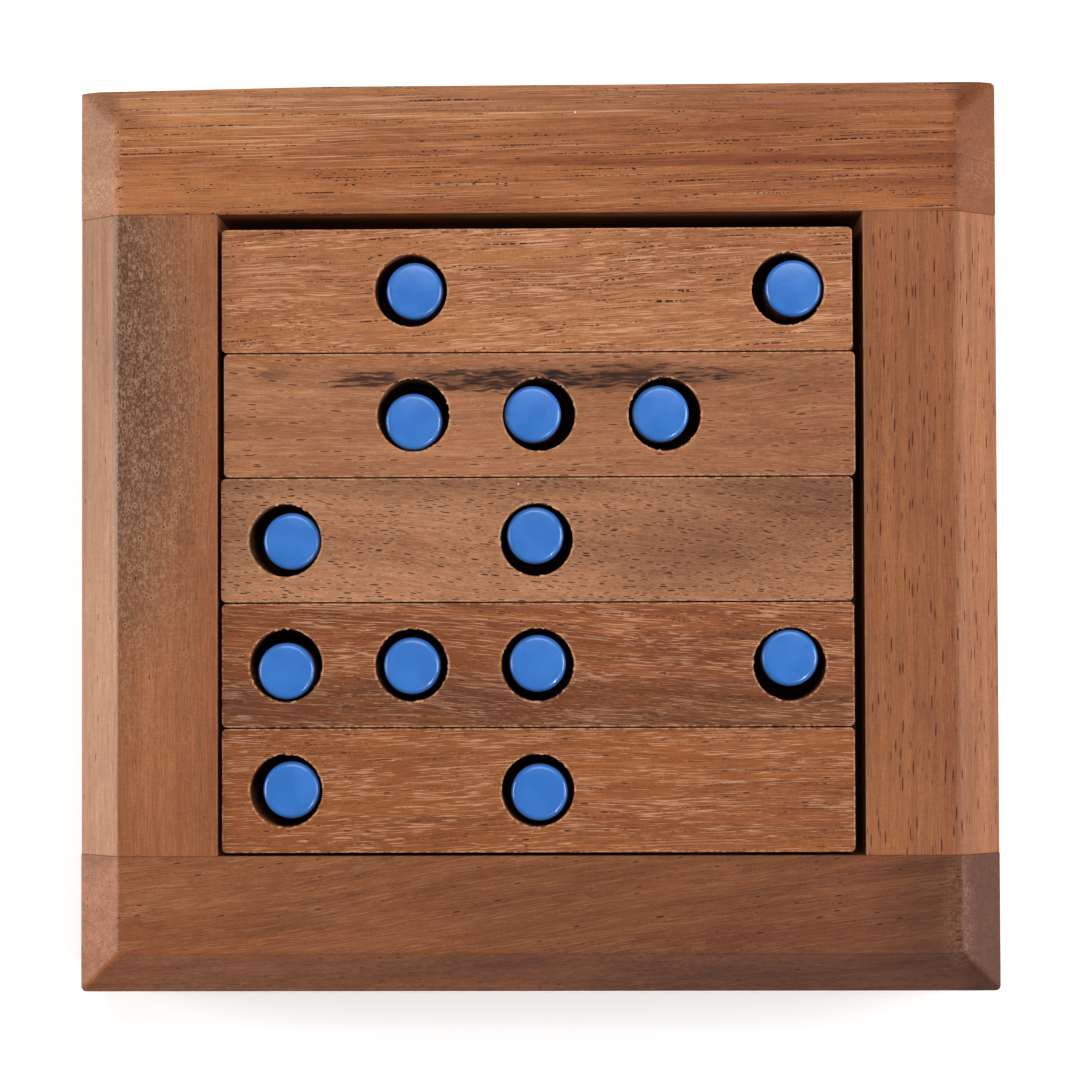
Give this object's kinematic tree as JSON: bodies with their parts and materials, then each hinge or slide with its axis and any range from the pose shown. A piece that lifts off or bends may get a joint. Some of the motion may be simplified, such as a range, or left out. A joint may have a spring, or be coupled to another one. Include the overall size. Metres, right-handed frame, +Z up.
{
  "type": "pin and bar tray puzzle",
  "caption": "Square hardwood tray with a bevelled rim, fixed blue-topped dowel pins, and loose drilled bars that slip over the pins in rows.",
  "frame": {"origin": "middle of the underside of the base board", "axes": "+Z up out of the open side of the tray, +X along the bars to the right, +Y across the bars to the back"},
  "size_m": [0.1304, 0.1288, 0.024],
  "materials": {
    "rail_wood": "sanded and oiled brown hardwood, satin",
    "board_wood": "sanded hardwood board, dull",
    "bar_wood": "sanded and oiled brown hardwood, satin",
    "pin_paint": "gloss blue paint over the top of a bare hardwood dowel"
  },
  "bodies": {
    "tray": {"back_rail": "rail_wood", "front_rail": "rail_wood", "left_rail": "rail_wood", "right_rail": "rail_wood", "base_board": "board_wood", "pin_row1_col2": "pin_paint", "pin_row1_col5": "pin_paint", "pin_row2_col2": "pin_paint", "pin_row2_col3": "pin_paint", "pin_row2_col4": "pin_paint", "pin_row3_col1": "pin_paint", "pin_row3_col3": "pin_paint", "pin_row4_col1": "pin_paint", "pin_row4_col2": "pin_paint", "pin_row4_col3": "pin_paint", "pin_row4_col5": "pin_paint", "pin_row5_col1": "pin_paint", "pin_row5_col3": "pin_paint"},
    "bar_1": {"bar_1": "bar_wood"},
    "bar_2": {"bar_2": "bar_wood"},
    "bar_3": {"bar_3": "bar_wood"},
    "bar_4": {"bar_4": "bar_wood"},
    "bar_5": {"bar_5": "bar_wood"}
  },
  "joints": [
    {"name": "bar_1_lift", "type": "slide", "parent": "tray", "child": "bar_1", "axis": [0, 0, 1], "range_m": [0, 0.03]},
    {"name": "bar_2_lift", "type": "slide", "parent": "tray", "child": "bar_2", "axis": [0, 0, 1], "range_m": [0, 0.03]},
    {"name": "bar_3_lift", "type": "slide", "parent": "tray", "child": "bar_3", "axis": [0, 0, 1], "range_m": [0, 0.03]},
    {"name": "bar_4_lift", "type": "slide", "parent": "tray", "child": "bar_4", "axis": [0, 0, 1], "range_m": [0, 0.03]},
    {"name": "bar_5_lift", "type": "slide", "parent": "tray", "child": "bar_5", "axis": [0, 0, 1], "range_m": [0, 0.03]}
  ]
}
